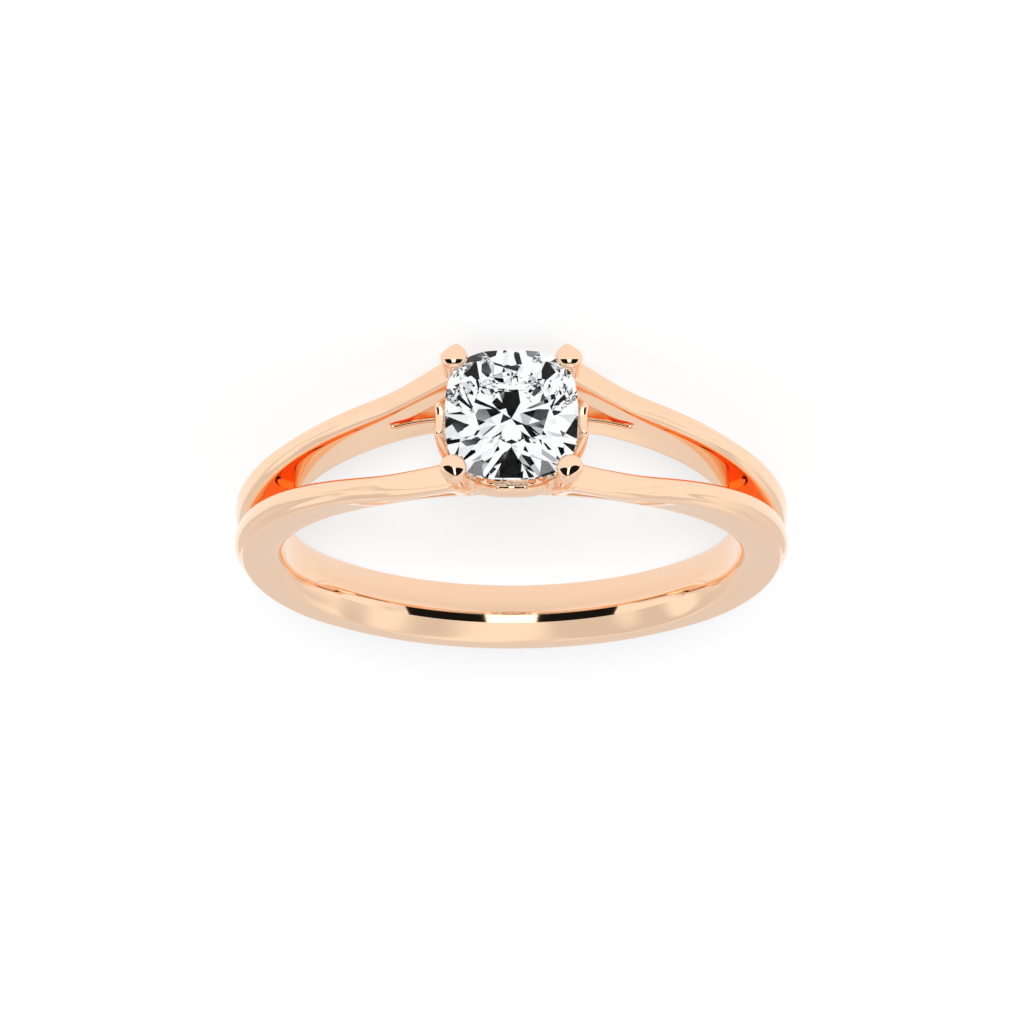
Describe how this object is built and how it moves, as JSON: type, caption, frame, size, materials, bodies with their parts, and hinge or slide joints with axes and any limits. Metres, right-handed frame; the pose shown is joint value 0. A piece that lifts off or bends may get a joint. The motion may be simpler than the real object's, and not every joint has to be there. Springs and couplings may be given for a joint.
{
  "type": "split shank ring",
  "caption": "Rose gold finger ring whose shank splits into two strands that rise to a claw head with a cushion cut stone.",
  "frame": {"origin": "centre of the finger hole, on the finger axis and midway between the ring's two faces", "axes": "+Z along the finger axis, up when the ring lies on its side; -Y from the finger toward the stone; +X across the head"},
  "size_m": [0.021, 0.0233, 0.0056],
  "materials": {
    "rose_gold": "polished",
    "diamond": "faceted and polished"
  },
  "bodies": {
    "root": {"ring_body": "rose_gold", "center_stone": "diamond"}
  },
  "joints": []
}
